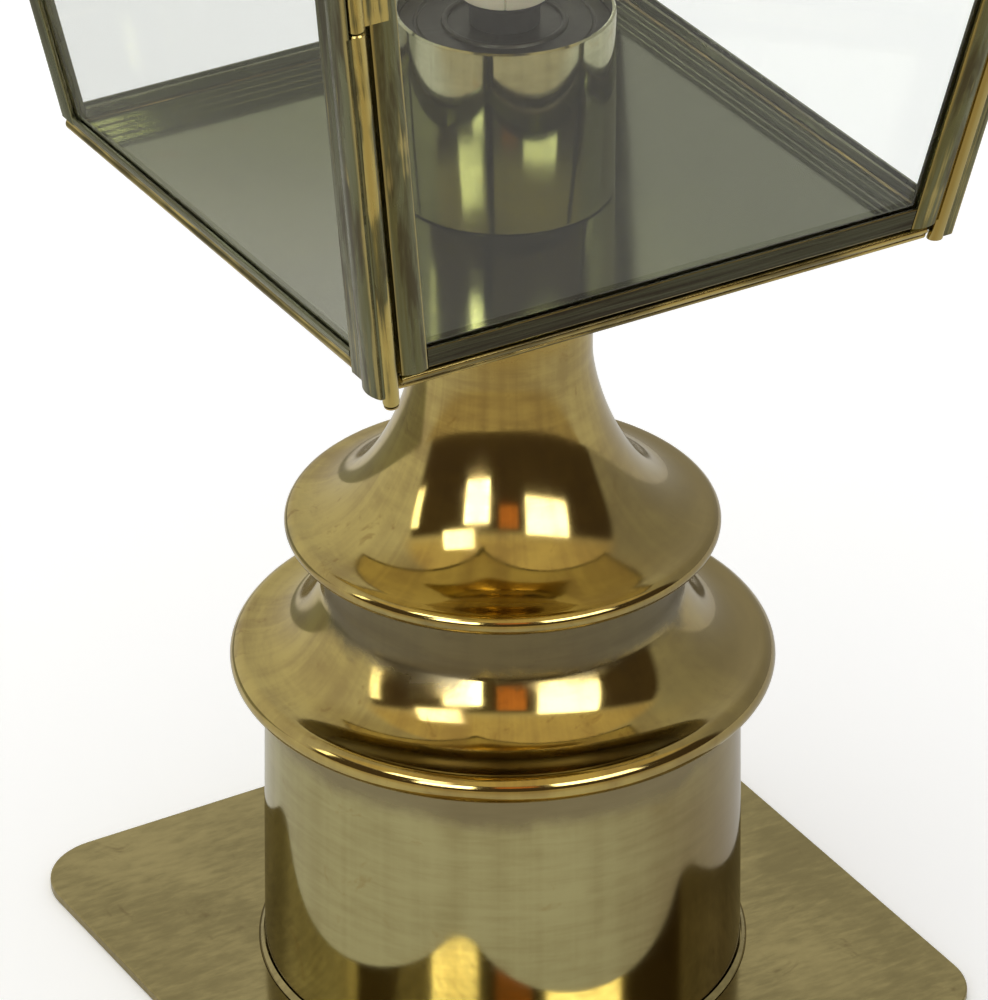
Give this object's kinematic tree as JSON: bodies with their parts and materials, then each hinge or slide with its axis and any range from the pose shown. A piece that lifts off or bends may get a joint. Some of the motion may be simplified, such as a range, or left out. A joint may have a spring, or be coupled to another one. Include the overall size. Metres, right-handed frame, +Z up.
{
  "type": "outdoor pedestal lantern",
  "caption": "Pedestal lantern: square plate, turned pedestal, tapered glazed cage with a hinged, latched door, candle-style lamp, hipped roof with vented cap.",
  "frame": {"origin": "centre of the base plate's underside", "axes": "+Z up along the pedestal; the door is on the -Y side, hinged at its -X end"},
  "size_m": [0.284, 0.284, 0.667],
  "materials": {
    "plate_brass": "aged satin brass",
    "polished_brass": "polished",
    "grey_brass": "polished, greyed",
    "frame_brass": "aged, darkened",
    "raw_brass": "plain",
    "dark_steel": "zinc plated, dull",
    "clear_glass": "clear",
    "bulb_glass": "clear",
    "ivory": "satin",
    "holder": "moulded, black",
    "terminal": "moulded, off-white",
    "lead": "insulated lead, off-white"
  },
  "bodies": {
    "lantern": {"base_plate": "plate_brass", "bridge_strap": "raw_brass", "strap_screw_left": "dark_steel", "strap_screw_right": "dark_steel", "drum": "grey_brass", "drum_foot_ring": "polished_brass", "lower_flange": "polished_brass", "upper_flange": "polished_brass", "threaded_rod": "dark_steel", "bottom_washer": "dark_steel", "bottom_nut": "dark_steel", "pan_washer": "dark_steel", "pan_nut": "dark_steel", "terminal_bracket": "raw_brass", "terminal_block": "terminal", "earth_screw": "raw_brass", "lamp_lead": "lead", "pan": "frame_brass", "front_sill_bead": "polished_brass", "rim_bead_right": "polished_brass", "rim_bead_back": "polished_brass", "rim_bead_left": "polished_brass", "post_hinge": "frame_brass", "post_latch": "frame_brass", "post_back_right": "frame_brass", "post_back_left": "frame_brass", "hinge_leaf": "frame_brass", "hinge_pin": "raw_brass", "candle_cup": "grey_brass", "cup_disc": "frame_brass", "lampholder": "holder", "candle_sleeve": "ivory", "bulb_cap": "dark_steel", "bulb_glass": "bulb_glass", "cornice": "polished_brass", "roof": "polished_brass", "chimney": "polished_brass", "vent_cap": "polished_brass", "finial": "polished_brass", "finial_nut": "dark_steel", "rail_top_front": "frame_brass", "rail_bottom_right": "frame_brass", "rail_top_right": "frame_brass", "pane_right": "clear_glass", "rail_bottom_back": "frame_brass", "rail_top_back": "frame_brass", "pane_back": "clear_glass", "rail_bottom_left": "frame_brass", "rail_top_left": "frame_brass", "pane_left": "clear_glass"},
    "door": {"door_knuckle": "frame_brass", "door_stile_hinge": "frame_brass", "door_stile_latch": "frame_brass", "door_rail_bottom": "frame_brass", "door_rail_top": "frame_brass", "door_pane": "clear_glass"},
    "latch": {"latch_knob": "polished_brass", "latch_spindle": "raw_brass", "latch_tongue": "raw_brass"}
  },
  "joints": [
    {"name": "door_hinge", "type": "hinge", "parent": "lantern", "child": "door", "pos_m": [-0.0847, -0.087, 0.245], "axis": [0.1653, 0.1653, -0.9723], "range_deg": [0, 115]},
    {"name": "latch_turn", "type": "hinge", "parent": "door", "child": "latch", "pos_m": [0.09696, -0.10706, 0.363], "axis": [0, 0.9859, 0.1676], "range_deg": [0, 90]}
  ]
}
